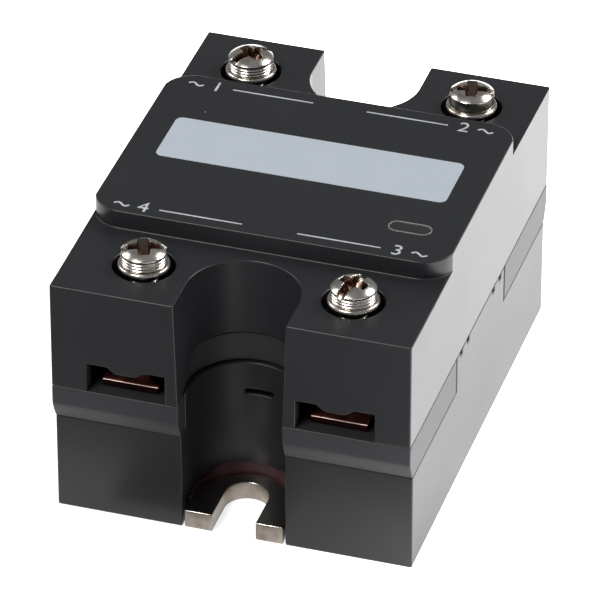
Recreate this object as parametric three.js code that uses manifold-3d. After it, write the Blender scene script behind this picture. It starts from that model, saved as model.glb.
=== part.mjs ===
// Panel-mount solid state relay: a plastic case on a metal base plate, with four
// screw terminals that travel down their wells to clamp a wire. Millimetres, +Z up,
// +Y towards the load terminals, origin at the middle of the base plate's underside.
import * as THREE from 'three';
import { mergeVertices } from 'three/addons/utils/BufferGeometryUtils.js';
import Module from 'manifold-3d';

const wasm = await Module();
wasm.setup();

// Outside of the case
const width = 44;
const length = 60;
const shoulderTop = 32;
const plateauTop = 34.4;
const plateauLength = 32;
const plateauCorner = 4;
const coverFoot = 17.9;
const carrierFoot = 13;
const wall = 1.8;
const gap = 0.3;
const above = 40;

// Base plate, and the bays that its mounting slots lie in
const plateTop = 2.4;
const plateWidth = 39.2;
const plateLength = 51.2;
const plateCorner = 1;
const tongueWidth = 12.2;
const tongueInset = 0.05;
const endRecess = 1.15;
const boltCentres = 47.6;
const boltSlotWidth = 5.4;
const sealTop = 2.9;
const bayCentre = 24.8;
const bayRadius = 6.4;
const bayRadiusAtShoulder = 6.85;
const bayWall = 1.5;
const bayRoundness = 12;
const linerWall = 0.8;
const linerEnd = 27;
const collarInset = 0.6;
const collarWall = 1.4;

// Screw terminals
const inputSpacing = 25.6;
const loadSpacing = 28.2;
const screwRow = 22.6;
const wellRadius = 3.7;
const sleeveRadius = 4.9;
const sleeveFoot = 22.6;
const washerFoot = 31.85;
const washerThickness = 0.7;
const washerRadius = 3.15;
const headRadius = 2.75;
const headHeight = 1.95;
const domeHeight = 0.3;
const shankRadius = 1.75;
const neckRadius = 1.6;
const shankTip = 16.4;
const threadHole = shankRadius + gap;
const shankRoom = threadHole + 0.15;
const nutSize = 7;
const nutHeight = 3.5;
const strapTop = 18.9;
const strapWidth = 7;
const strapEnd = 28.2;
const wireSlotWidth = 9.6;
const wireSlotTop = 21.75;

// Electronics
const boardFoot = 17.9;
const boardTop = 19.5;
const boardWidth = 36.8;
const boardLength = 25.2;
const ceramicTop = 3.0;
const padTop = 3.3;
const dieTop = 3.6;
const dieSize = 5;
const dieX = 5.5;
const dieY = 3;
const gateLead = new THREE.Vector2(7.3, 1.1);
const gateLeadRadius = 0.3;
const gel = { low: 6, high: 12, halfWidth: 19.9, halfLength: 14.9 };
const loadLegX = [10.6, 13.4];
const loadLegY = [12.9, 13.9];
const loadFootStart = 8;
const indicator = new THREE.Vector2(15.7, -9.3);

const terminals = [
  { name: 'front_left', x: -inputSpacing / 2, y: -screwRow, recessTurn: 0.35 },
  { name: 'front_right', x: inputSpacing / 2, y: -screwRow, recessTurn: 1.25 },
  { name: 'rear_left', x: -loadSpacing / 2, y: screwRow, recessTurn: 0.9 },
  { name: 'rear_right', x: loadSpacing / 2, y: screwRow, recessTurn: 0.2 },
];

const finishes = {
  cover: { color: 0x26272a, roughness: 0.42, metalness: 0 },
  housing: { color: 0x232427, roughness: 0.5, metalness: 0 },
  carrier: { color: 0x333539, roughness: 0.62, metalness: 0 },
  nickel: { color: 0xb9b2a6, roughness: 0.3, metalness: 1 },
  plate: { color: 0x9c9388, roughness: 0.35, metalness: 1 },
  copper: { color: 0xa8583f, roughness: 0.35, metalness: 1 },
  seal: { color: 0x4a1512, roughness: 0.6, metalness: 0 },
  panel: { color: 0xb0b7c0, roughness: 0.55, metalness: 0 },
  lens: { color: 0x3c3e40, roughness: 0.2, metalness: 0 },
  board: { color: 0x2e6b3c, roughness: 0.5, metalness: 0 },
  ceramic: { color: 0xe8e6df, roughness: 0.6, metalness: 0 },
  silicon: { color: 0x54565c, roughness: 0.25, metalness: 0.6 },
  gel: { color: 0xc9c4b2, roughness: 0.3, metalness: 0 },
  chip: { color: 0x1b1b1c, roughness: 0.5, metalness: 0 },
  film: { color: 0xd0a73a, roughness: 0.4, metalness: 0 },
  resistor: { color: 0xc8b48c, roughness: 0.5, metalness: 0 },
};

// ---- Solids -----------------------------------------------------------------

// Vertices go to a grid that 32-bit numbers hold exactly, so that faces meant to be
// in one plane are in one plane.
const gridPerMillimetre = 1024;

function solid(geometry) {
  const bare = geometry.clone();
  bare.deleteAttribute('normal');
  bare.deleteAttribute('uv');
  const position = bare.attributes.position;
  position.array.set(position.array.map((v) => Math.round(v * gridPerMillimetre) / gridPerMillimetre));
  const merged = mergeVertices(bare, 1e-4);
  const vertProperties = new Float32Array(merged.attributes.position.array);
  const triVerts = new Uint32Array(merged.index.array);
  return new wasm.Manifold(new wasm.Mesh({ numProp: 3, vertProperties, triVerts }));
}

function surface(body) {
  const mesh = body.getMesh();
  const geometry = new THREE.BufferGeometry();
  geometry.setAttribute('position', new THREE.BufferAttribute(mesh.vertProperties, 3));
  geometry.setIndex(new THREE.BufferAttribute(mesh.triVerts, 1));
  geometry.computeVertexNormals();
  return geometry;
}

function block(x0, x1, y0, y1, z0, z1) {
  const geometry = new THREE.BoxGeometry(Math.abs(x1 - x0), Math.abs(y1 - y0), z1 - z0);
  return solid(geometry.translate((x0 + x1) / 2, (y0 + y1) / 2, (z0 + z1) / 2));
}

function rod(x, y, z0, z1, radius, sides = 32) {
  const geometry = new THREE.CylinderGeometry(radius, radius, z1 - z0, sides);
  return solid(geometry.rotateX(Math.PI / 2).translate(x, y, (z0 + z1) / 2));
}

// An arc in an outline gets twice as many sides as roundness says.
function prism(shape, z0, z1, roundness = 2) {
  const options = { depth: z1 - z0, bevelEnabled: false, curveSegments: roundness };
  return solid(new THREE.ExtrudeGeometry(shape, options).translate(0, 0, z0));
}

// A prism along Y from an outline drawn in X and Z.
function prismAlongY(shape, y0, y1) {
  const options = { depth: y1 - y0, bevelEnabled: false };
  const geometry = new THREE.ExtrudeGeometry(shape, options);
  return solid(geometry.rotateX(Math.PI / 2).translate(0, y1, 0));
}

// A prism along X from an outline drawn in Y and Z.
function prismAlongX(shape, x0, x1) {
  const options = { depth: x1 - x0, bevelEnabled: false };
  const geometry = new THREE.ExtrudeGeometry(shape, options);
  geometry.applyMatrix4(new THREE.Matrix4().set(0, 0, 1, x0, 1, 0, 0, 0, 0, 1, 0, 0, 0, 0, 0, 1));
  return solid(geometry);
}

function outline(points) {
  return new THREE.Shape(points.map(([x, y]) => new THREE.Vector2(x, y)));
}

function roundedRectangle(x, y, wide, long, corner) {
  const shape = new THREE.Shape();
  const [left, right, low, high] = [x - wide / 2, x + wide / 2, y - long / 2, y + long / 2];
  shape.moveTo(left + corner, low);
  shape.lineTo(right - corner, low);
  shape.absarc(right - corner, low + corner, corner, -Math.PI / 2, 0);
  shape.absarc(right - corner, high - corner, corner, 0, Math.PI / 2);
  shape.absarc(left + corner, high - corner, corner, Math.PI / 2, Math.PI);
  shape.absarc(left + corner, low + corner, corner, Math.PI, Math.PI * 1.5);
  return shape;
}

// A U that opens past the end of the case: round inside, straight sides outwards.
function channel(end, centre, radius) {
  const shape = new THREE.Shape();
  const mouth = length / 2 + 3;
  const sweep = end > 0 ? [Math.PI, Math.PI * 2] : [0, Math.PI];
  shape.moveTo(-end * radius, end * mouth);
  shape.lineTo(-end * radius, end * centre);
  shape.absarc(0, end * centre, radius, sweep[0], sweep[1], false);
  shape.lineTo(end * radius, end * mouth);
  return shape;
}

function bay(end, radius, z0, z1) {
  return prism(channel(end, bayCentre, radius), z0, z1, bayRoundness);
}

// The bay in the cover widens upwards, as the mould's draft needs.
function draftedBay(end, z0, z1) {
  const shape = channel(end, bayCentre, bayRadius);
  const options = { depth: z1 - z0, bevelEnabled: false, curveSegments: bayRoundness };
  const geometry = new THREE.ExtrudeGeometry(shape, options).translate(0, 0, z0);
  const points = geometry.attributes.position;
  const growth = bayRadiusAtShoulder / bayRadius;
  for (let i = 0; i < points.count; i += 1) {
    if (points.getZ(i) > (z0 + z1) / 2) {
      points.setX(i, points.getX(i) * growth);
      points.setY(i, end * bayCentre + (points.getY(i) - end * bayCentre) * growth);
    }
  }
  return solid(geometry);
}

const relay = new THREE.Group();

function place(name, finish, body, x = 0, y = 0) {
  const mesh = new THREE.Mesh(surface(body), new THREE.MeshStandardMaterial(finishes[finish]));
  mesh.name = name;
  mesh.position.set(x, y, 0);
  relay.add(mesh);
}

function union(bodies) {
  return bodies.reduce((sum, body) => sum.add(body));
}

function cutAll(body, cutters) {
  return cutters.reduce((left, cutter) => left.subtract(cutter), body);
}

const ends = [-1, 1];

// ---- Base plate and seal ------------------------------------------------------

function basePlate() {
  const tongueEnd = length / 2 - endRecess - tongueInset;
  const body = union([
    prism(roundedRectangle(0, 0, plateWidth, plateLength, plateCorner), 0, plateTop),
    block(-tongueWidth / 2, tongueWidth / 2, -tongueEnd, tongueEnd, 0, plateTop),
  ]);
  const slots = ends.map((end) => channel(end, boltCentres / 2, boltSlotWidth / 2));
  return cutAll(body, slots.map((shape) => prism(shape, -1, plateTop + 1, 8)));
}

const powerStageRoom = { wide: 34, long: 31 };

// The seal lies round the plate's rim; its edge shows at the foot of each bay.
function baseSeal() {
  const rim = roundedRectangle(0, 0, plateWidth - 2 * gap, plateLength - 2 * gap, plateCorner);
  rim.holes.push(roundedRectangle(0, 0, powerStageRoom.wide, powerStageRoom.long, plateCorner));
  const bays = ends.map((end) => bay(end, bayRadius - gap, 0, sealTop + 1));
  return cutAll(prism(rim, plateTop, sealTop), bays);
}

// ---- Lower housing --------------------------------------------------------------

const platePocket = 0.2;
const latchY = [5, 9];
const latchFoot = 14.6;
const middleHalf = 10.3;
const boardRest = { inner: 17.4, half: 3.5, foot: 12.3 };
const screwBlockSpan = { x: [7, 18.6], y: [18.2, 27.5] };
const blindHoleFoot = 3.6;
const latchSlot = { inner: 20.1, outer: 21.3, foot: latchFoot - gap, top: latchFoot + 1.3 };
const snapSlit = { half: 1.75, foot: 13.3, top: 14.1 };

// A solid block under each screw, which the tip of its shank runs down into.
function screwBlock({ x, y }) {
  const spanX = screwBlockSpan.x.map((reach) => Math.sign(x) * reach);
  const spanY = screwBlockSpan.y.map((reach) => Math.sign(y) * reach);
  return block(...spanX, ...spanY, sealTop, carrierFoot);
}

// The housing lines the round of each bay up to the cover, inside the carrier.
function bayLiner(end, radius, top, reach) {
  const room = block(-width, width, 0, end * reach, 0, top);
  return bay(end, radius, carrierFoot - 1, top).intersect(room);
}

function snapSlitCut(end) {
  const { half, foot, top } = snapSlit;
  return block(-half, half, end * (bayCentre - bayRadius - 3), end * bayCentre, foot, top);
}

function lowerHousing() {
  const halfLength = length / 2 - endRecess;
  const inside = width / 2 - wall;
  const shell = union([
    block(-width / 2, width / 2, -halfLength, halfLength, 0, carrierFoot),
    block(-width / 2, width / 2, -middleHalf, middleHalf, carrierFoot - 1, coverFoot),
  ]);
  const cavity = block(-inside, inside, -halfLength + wall, halfLength - wall, sealTop - 1, above);
  const collars = ends.map((end) => bay(end, bayRadius + bayWall, sealTop, carrierFoot));
  const room = block(-width / 2, width / 2, -halfLength, halfLength, 0, carrierFoot);
  const rests = [-1, 1].map((side) => {
    const { inner, half, foot } = boardRest;
    return block(side * inner, side * (inside + 1), -half, half, foot, boardFoot);
  });
  const body = union([
    shell.subtract(cavity),
    ...collars.map((collar) => collar.intersect(room)),
    ...ends.map((end) => bayLiner(end, bayRadius + linerWall, coverFoot - gap, linerEnd)),
    ...terminals.map(screwBlock),
    ...rests,
  ]);
  const pocketWidth = plateWidth + 2 * platePocket;
  const pocketLength = plateLength + 2 * platePocket;
  return cutAll(body, [
    prism(roundedRectangle(0, 0, pocketWidth, pocketLength, plateCorner), -1, sealTop),
    ...ends.map((end) => bay(end, bayRadius, -1, coverFoot + 1)),
    ...ends.map(snapSlitCut),
    ...terminals.map(({ x, y }) => rod(x, y, blindHoleFoot, carrierFoot + 1, shankRoom)),
    ...[-1, 1].flatMap((side) => ends.map((end) => latchWindow(side, end))),
  ]);
}

function latchWindow(side, end) {
  const [low, high] = [latchY[0] - gap, latchY[1] + gap];
  const { inner, outer, foot, top } = latchSlot;
  return block(side * inner, side * outer, end * low, end * high, foot, top);
}

// ---- Terminal carriers ------------------------------------------------------------

const carrierBack = 15.2;
const slopeTop = 15.4;
const slopeFootInset = 1.39;
const arm = { inner: 20.4, end: 10.6 };

// The lower half of the carrier's outer face slopes in to meet the recessed housing.
function carrierSlope(end) {
  const outer = length / 2;
  const slope = outline([
    [end * outer, slopeTop],
    [end * (outer - slopeFootInset), carrierFoot - 0.5],
    [end * (outer + 1), carrierFoot - 0.5],
    [end * (outer + 1), slopeTop],
  ]);
  return prismAlongX(slope, -width, width);
}

function terminalCarrier(end) {
  const outer = length / 2;
  const half = width / 2;
  const own = terminals.filter(({ y }) => Math.sign(y) === end);
  const collar = bay(end, bayRadius + collarInset + collarWall, coverFoot - 1, above)
    .intersect(underSkirt(end, gap));
  const body = union([
    block(-half, half, end * carrierBack, end * outer, carrierFoot, coverFoot),
    ...[-1, 1].map((side) => (
      block(side * arm.inner, side * half, end * arm.end, end * (carrierBack + 1),
        carrierFoot, coverFoot)
    )),
    collar,
  ]);
  const pocket = nutSize / 2 + gap;
  return cutAll(body, [
    carrierSlope(end),
    bay(end, bayRadius, 0, coverFoot),
    bayLiner(end, bayRadius + linerWall + gap, coverFoot, linerEnd + gap),
    bay(end, bayRadius + collarInset, coverFoot - 0.01, above),
    snapSlitCut(end),
    ...own.map(({ x, y }) => (
      block(x - pocket, x + pocket, y - pocket, y + pocket, coverFoot - nutHeight, above)
    )),
    ...own.map(({ x, y }) => rod(x, y, 0, above, shankRoom)),
  ]);
}

// ---- Top cover ----------------------------------------------------------------------

const hollowRoof = 30;
const cavityHalf = 15;
const cornerRoom = { x: [7.9, 20.2], start: 16.8 };
const strapRoom = { half: 3.9, y: [14.8, 17] };
const latchBody = { inner: 18.9, root: 20.6, skin: 19.9, hook: 20.9, rootTop: 20.6 };
const wireTab = { height: 0.8, foot: 2.5, root: 4.7 };
const windowSize = [5.2, 2.1];
const skirtStart = 16;
const skirtTop = 22.1;
const skirtCurve = [[22.6, 22.1], [24.1, 21.2], [25.3, 19.9], [26.8, 18.9], [28, 18.4]];

// The room under the bay wall of the cover. The wall's foot is level round the bay, and
// sweeps down towards the end. The carrier's collar stands in this room.
function underSkirt(end, clearance) {
  const curve = skirtCurve.map(([y, z]) => [end * (y - clearance), z - clearance]);
  const last = end * (skirtCurve.at(-1)[0] - clearance);
  const start = end * (skirtStart + clearance);
  const room = outline([[start, 0], [start, skirtTop - clearance], ...curve, [last, 0]]);
  const half = bayRadius + collarInset + collarWall + gap - clearance;
  return prismAlongX(room, -half, half);
}

// The wire mouth: a wide slot whose top edge has a tab in the middle.
function wireMouth(x, end) {
  const half = wireSlotWidth / 2;
  const tabZ = wireSlotTop - wireTab.height;
  const mouth = outline([
    [x - half, coverFoot - 1],
    [x + half, coverFoot - 1],
    [x + half, wireSlotTop],
    [x + wireTab.root / 2, wireSlotTop],
    [x + wireTab.foot / 2, tabZ],
    [x - wireTab.foot / 2, tabZ],
    [x - wireTab.root / 2, wireSlotTop],
    [x - half, wireSlotTop],
  ]);
  const outer = length / 2;
  const low = Math.min(end * (outer - 2), end * (outer + 1));
  return prismAlongY(mouth, low, low + 3);
}

// One corner of the cover: a hollow round the wire, with a sleeve for the screw.
function cornerHollow({ x, y }) {
  const side = Math.sign(x);
  const end = Math.sign(y);
  const spanX = cornerRoom.x.map((reach) => side * reach);
  const hollow = block(...spanX, end * cornerRoom.start, end * strapEnd, 0, hollowRoof);
  return hollow.subtract(rod(x, y, sleeveFoot, hollowRoof + 1, sleeveRadius));
}

function latch(side, end) {
  const span = latchY.map((y) => end * y);
  const { inner, root, skin, hook, rootTop } = latchBody;
  return union([
    block(side * inner, side * root, ...span, coverFoot + gap, rootTop),
    block(side * inner, side * skin, ...span, latchFoot, coverFoot + 1),
    block(side * inner, side * hook, ...span, latchFoot, latchFoot + 1),
  ]);
}

function topCover() {
  const half = width / 2;
  const outer = length / 2;
  const plateau = roundedRectangle(0, 0, width, plateauLength, plateauCorner);
  const body = union([
    block(-half, half, -outer, outer, coverFoot, shoulderTop),
    prism(plateau, shoulderTop - 1, plateauTop, 4),
  ]);
  const inside = half - wall;
  const window = roundedRectangle(indicator.x, indicator.y, ...windowSize, windowSize[1] / 2.01);
  const hollowed = cutAll(body, [
    block(-inside, inside, -cavityHalf, cavityHalf, 0, plateauTop - 2),
    prism(window, hollowRoof, above, 5),
    ...terminals.map(cornerHollow),
    ...ends.map((end) => draftedBay(end, coverFoot - 0.01, shoulderTop + 0.01)),
    ...ends.map((end) => underSkirt(end, 0)),
    ...terminals.map(({ x, y }) => rod(x, y, sleeveFoot - 1, above, wellRadius)),
    ...terminals.map(({ x, y }) => wireMouth(x, Math.sign(y))),
    ...terminals.map(({ x, y }) => strapPassage(x, Math.sign(y))),
  ]);
  const latches = [-1, 1].flatMap((side) => ends.map((end) => latch(side, end)));
  return union([hollowed, ...latches]);
}

function strapPassage(x, end) {
  const span = strapRoom.y.map((reach) => end * reach);
  return block(x - strapRoom.half, x + strapRoom.half, ...span, 0, strapTop + gap);
}

const panel = { y: 1.55, wide: 36.2, deep: 9, corner: 1.5, thickness: 0.12 };
const lightPipeFoot = 23;

function markingPanel() {
  const face = roundedRectangle(0, panel.y, panel.wide, panel.deep, panel.corner);
  return prism(face, plateauTop, plateauTop + panel.thickness, 4);
}

function lightPipe() {
  const [wide, deep] = windowSize.map((size) => size - 0.4);
  const section = roundedRectangle(indicator.x, indicator.y, wide, deep, deep / 2.01);
  return prism(section, lightPipeFoot, plateauTop, 5);
}

// ---- Screws, washers and nuts ---------------------------------------------------------

function lathe(profile, sides) {
  const points = profile.map(([r, z]) => new THREE.Vector2(r, z));
  return solid(new THREE.LatheGeometry(points, sides).rotateX(Math.PI / 2));
}

function terminalScrew(recessTurn) {
  const seat = washerFoot + washerThickness;
  const rim = seat + headHeight;
  const body = lathe([
    [0, shankTip],
    [shankRadius - 0.5, shankTip],
    [shankRadius, shankTip + 0.5],
    [shankRadius, washerFoot - 1],
    [neckRadius, washerFoot - 0.6],
    [neckRadius, seat],
    [headRadius, seat],
    [headRadius, rim],
    [headRadius * 0.72, rim + domeHeight * 0.75],
    [0, rim + domeHeight],
  ], 32);
  const recess = (long, wide, deep, turn) => {
    const bar = new THREE.BoxGeometry(long, wide, deep + 1);
    return solid(bar.translate(0, 0, rim + domeHeight + 0.5 - deep / 2).rotateZ(turn));
  };
  return cutAll(body, [
    recess(headRadius * 2.2, 0.9, 1.1, recessTurn),
    recess(headRadius * 1.5, 0.9, 1.3, recessTurn + Math.PI / 2),
  ]);
}

function screwWasher() {
  const top = washerFoot + washerThickness;
  return lathe([
    [neckRadius + gap, washerFoot],
    [washerRadius, washerFoot],
    [washerRadius, top],
    [neckRadius + gap, top],
    [neckRadius + gap, washerFoot],
  ], 32);
}

function clampNut() {
  const half = nutSize / 2;
  const nut = block(-half, half, -half, half, coverFoot - nutHeight, coverFoot);
  return nut.subtract(rod(0, 0, 0, above, threadHole));
}

// ---- Terminal straps ---------------------------------------------------------------------

const neckEnd = 17.2;
const inputNeck = { back: 13.6, half: 2 };

// A flat strap with a hole for the screw, and a narrower neck towards the middle.
function strap({ x, y }, back, neckHalf, neckX) {
  const end = Math.sign(y);
  const half = strapWidth / 2;
  const body = union([
    block(x - half, x + half, end * neckEnd, end * strapEnd, coverFoot, strapTop),
    block(neckX - neckHalf, neckX + neckHalf, end * back, end * (neckEnd + 1),
      coverFoot, strapTop),
  ]);
  return body.subtract(rod(x, y, 0, above, threadHole));
}

function inputTerminal(terminal) {
  return strap(terminal, inputNeck.back, inputNeck.half, terminal.x);
}

// The load strap turns down behind the carrier and ends in a foot on the copper pad.
function loadTerminal(terminal) {
  const side = Math.sign(terminal.x);
  const legX = side * (loadLegX[0] + loadLegX[1]) / 2;
  const legHalf = (loadLegX[1] - loadLegX[0]) / 2;
  const [inner, outer] = loadLegY;
  const leg = outline([
    [loadFootStart, padTop],
    [outer, padTop],
    [outer, coverFoot + 0.5],
    [inner, coverFoot + 0.5],
    [inner, padTop + 1],
    [loadFootStart, padTop + 1],
  ]);
  return union([
    strap(terminal, inner, legHalf, legX),
    prismAlongX(leg, legX - legHalf, legX + legHalf),
  ]);
}

// A staple of square wire from the strap over to the board.
function inputJumper() {
  const [outer, inner, top, thick] = [14.8, 11.2, 21.8, 0.8];
  const staple = outline([
    [-outer, strapTop],
    [-outer + thick, strapTop],
    [-outer + thick, top - thick],
    [-inner - thick, top - thick],
    [-inner - thick, boardTop],
    [-inner, boardTop],
    [-inner, top],
    [-outer, top],
  ]);
  return prismAlongX(staple, -thick / 2, thick / 2);
}

// ---- Power stage ---------------------------------------------------------------------------

function ceramicSubstrate() {
  return block(-14.2, 14.2, -11, 11, plateTop, ceramicTop);
}

function copperPad(side) {
  return block(side * 0.6, side * 13.7, -10.5, 10.5, ceramicTop, padTop);
}

function thyristorDie(side) {
  const half = dieSize / 2;
  const [x, y] = [side * dieX, side * dieY];
  return block(x - half, x + half, y - half, y + half, padTop, dieTop);
}

// A copper clip carries the current from the top of one die to the other pad.
function thyristorClip(side) {
  const [under, top] = [4.1, 4.6];
  const clip = outline([
    [-4, padTop],
    [-2.2, padTop],
    [-2.2, under],
    [4.6, under],
    [4.6, dieTop],
    [6.4, dieTop],
    [6.4, top],
    [-4, top],
  ].map(([x, z]) => [side * x, z]));
  return prismAlongY(clip, side * dieY - 1.5, side * dieY + 1.5);
}

function gateLeadRod(side) {
  return rod(side * gateLead.x, side * gateLead.y, dieTop, boardFoot, gateLeadRadius, 12);
}

function pottingGel() {
  const { low, high, halfWidth, halfLength } = gel;
  const leadRoom = gateLeadRadius + gap + 0.2;
  const body = block(-halfWidth, halfWidth, -halfLength, halfLength, low, high);
  return cutAll(body, [
    ...[-1, 1].map((side) => (
      block(side * (loadLegX[0] - gap), side * (loadLegX[1] + gap),
        loadLegY[0] - gap, loadLegY[1] + gap, 0, above)
    )),
    ...[-1, 1].map((side) => rod(side * gateLead.x, side * gateLead.y, 0, above, leadRoom, 12)),
  ]);
}

// ---- Control board ----------------------------------------------------------------------------

function controlBoard() {
  const board = prism(roundedRectangle(0, 0, boardWidth, boardLength, 0.8), boardFoot, boardTop);
  const fixingHoles = ends.map((end) => rod(0, end * 11, 0, above, 0.8, 16));
  return cutAll(board, fixingHoles);
}

function legs(x, y, rowX, pitch, count, top) {
  const first = y - (pitch * (count - 1)) / 2;
  return [-1, 1].flatMap((side) => Array.from({ length: count }, (_, i) => {
    const centre = first + i * pitch;
    return block(x + side * rowX, x + side * (rowX - 0.9), centre - 0.3, centre + 0.3,
      boardTop, boardTop + top);
  }));
}

function optocoupler() {
  const body = block(1.8, 8.2, -8.4, 0.4, boardTop + 0.4, boardTop + 3.8);
  const dot = rod(3, -0.7, boardTop + 3.5, above, 0.5, 16);
  return union([body, ...legs(5, -4, 3.9, 2.54, 3, 2.2)]).subtract(dot);
}

function bridgeRectifier() {
  const body = block(-12.4, -7.6, -6.4, -1.6, boardTop + 0.3, boardTop + 2.8);
  return union([body, ...legs(-10, -4, 3.1, 2.5, 2, 1.4)]);
}

function snubberCapacitor() {
  return prism(roundedRectangle(-8.5, 5.8, 13, 6, 0.6), boardTop, boardTop + 10.5);
}

// An axial resistor whose leads bend down to the board.
function axialResistor(x, y, long, radius) {
  const axis = boardTop + radius + 0.4;
  const profile = [
    [0, -long / 2],
    [radius * 0.8, -long / 2],
    [radius, -long / 2 + 0.5],
    [radius * 0.9, -long / 4],
    [radius * 0.9, long / 4],
    [radius, long / 2 - 0.5],
    [radius * 0.8, long / 2],
    [0, long / 2],
  ].map(([r, z]) => new THREE.Vector2(r, z));
  const barrel = new THREE.LatheGeometry(profile, 24).rotateZ(Math.PI / 2).translate(x, y, axis);
  const leads = [-1, 1].flatMap((side) => {
    const tip = x + side * (long / 2 + 1.2);
    return [
      block(x + side * (long / 2 - 0.5), tip, y - 0.3, y + 0.3, axis - 0.3, axis + 0.3),
      block(tip - side * 0.6, tip, y - 0.3, y + 0.3, boardTop, axis + 0.3),
    ];
  });
  return union([solid(barrel), ...leads]);
}

function indicatorLed() {
  return lathe([
    [0, boardTop],
    [1.6, boardTop],
    [1.6, boardTop + 0.6],
    [1.3, boardTop + 0.6],
    [1.3, boardTop + 1.6],
    [0.95, boardTop + 2.4],
    [0, boardTop + 2.8],
  ], 24);
}

// ---- Assembly -------------------------------------------------------------------------------------

place('base_plate', 'plate', basePlate());
place('base_seal', 'seal', baseSeal());
place('lower_housing', 'housing', lowerHousing());
place('terminal_carrier_front', 'carrier', terminalCarrier(-1));
place('terminal_carrier_rear', 'carrier', terminalCarrier(1));
place('top_cover', 'cover', topCover());
place('marking_panel', 'panel', markingPanel());
place('light_pipe', 'lens', lightPipe());
place('indicator_led', 'lens', indicatorLed(), indicator.x, indicator.y);

for (const terminal of terminals) {
  const isInput = terminal.y < 0;
  const side = terminal.x < 0 ? 'left' : 'right';
  const { name, x, y } = terminal;
  place(`terminal_screw_${name}`, 'nickel', terminalScrew(terminal.recessTurn), x, y);
  place(`screw_washer_${name}`, 'nickel', screwWasher(), x, y);
  place(`clamp_nut_${name}`, 'nickel', clampNut(), x, y);
  if (isInput) {
    place(`input_terminal_${side}`, 'copper', inputTerminal(terminal));
    place(`input_jumper_${side}`, 'nickel', inputJumper(), x, 0);
  } else {
    place(`load_terminal_${side}`, 'copper', loadTerminal(terminal));
  }
}

place('ceramic_substrate', 'ceramic', ceramicSubstrate());
for (const [side, word] of [[-1, 'left'], [1, 'right']]) {
  place(`copper_pad_${word}`, 'copper', copperPad(side));
  place(`thyristor_die_${word}`, 'silicon', thyristorDie(side));
  place(`thyristor_clip_${word}`, 'copper', thyristorClip(side));
  place(`gate_lead_${word}`, 'nickel', gateLeadRod(side));
}
place('potting_gel', 'gel', pottingGel());

place('control_board', 'board', controlBoard());
place('optocoupler', 'chip', optocoupler());
place('bridge_rectifier', 'chip', bridgeRectifier());
place('snubber_capacitor', 'film', snubberCapacitor());
place('snubber_resistor', 'resistor', axialResistor(8.5, 6.5, 9, 2));
place('input_resistor', 'resistor', axialResistor(-5, -10, 6.5, 1.2));

export default relay;
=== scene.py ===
import math

import bmesh
import bpy
from mathutils import Matrix, Vector


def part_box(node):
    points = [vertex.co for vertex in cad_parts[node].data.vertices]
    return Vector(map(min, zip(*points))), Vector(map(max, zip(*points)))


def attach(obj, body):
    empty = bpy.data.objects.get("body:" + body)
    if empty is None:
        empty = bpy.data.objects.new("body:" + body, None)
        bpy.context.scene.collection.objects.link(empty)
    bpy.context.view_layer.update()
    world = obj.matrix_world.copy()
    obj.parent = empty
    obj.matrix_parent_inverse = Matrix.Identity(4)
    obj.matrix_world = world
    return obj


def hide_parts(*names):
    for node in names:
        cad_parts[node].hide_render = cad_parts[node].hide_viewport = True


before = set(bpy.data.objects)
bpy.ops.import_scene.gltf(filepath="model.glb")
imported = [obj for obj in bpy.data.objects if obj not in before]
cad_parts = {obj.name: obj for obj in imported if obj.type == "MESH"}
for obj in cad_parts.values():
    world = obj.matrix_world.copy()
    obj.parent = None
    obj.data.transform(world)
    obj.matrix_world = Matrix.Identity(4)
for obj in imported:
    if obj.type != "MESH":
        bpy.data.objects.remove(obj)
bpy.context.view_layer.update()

# ---- Base plate ----------------------------------------------------------------------
# The plate that carries the heat into the panel, sheared from nickel-plated strip and
# glued into the housing. An open slot at each end takes the mounting screw. Sizes are
# in millimetres.

MM = 0.001
ENDS = (-1, 1)
SIDES = (-1, 1)


def span(node):
    """A CAD node's lowest and highest corner, in millimetres."""
    low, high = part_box(node)
    return low / MM, high / MM


class Value:
    """A node's output, so that shader maths reads as arithmetic."""

    def __init__(self, finish, socket):
        self.finish = finish
        self.socket = socket

    def maths(self, operation, *values):
        settings = {"operation": operation}
        return self.finish.node("ShaderNodeMath", settings, dict(enumerate(values)))

    def __add__(self, other):
        return self.maths("ADD", self, other)

    def __sub__(self, other):
        return self.maths("SUBTRACT", self, other)

    def __rsub__(self, other):
        return self.maths("SUBTRACT", other, self)

    def __mul__(self, other):
        return self.maths("MULTIPLY", self, other)

    def __gt__(self, other):
        return self.maths("GREATER_THAN", self, other)

    def __lt__(self, other):
        return self.maths("LESS_THAN", self, other)

    __radd__ = __add__
    __rmul__ = __mul__


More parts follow.
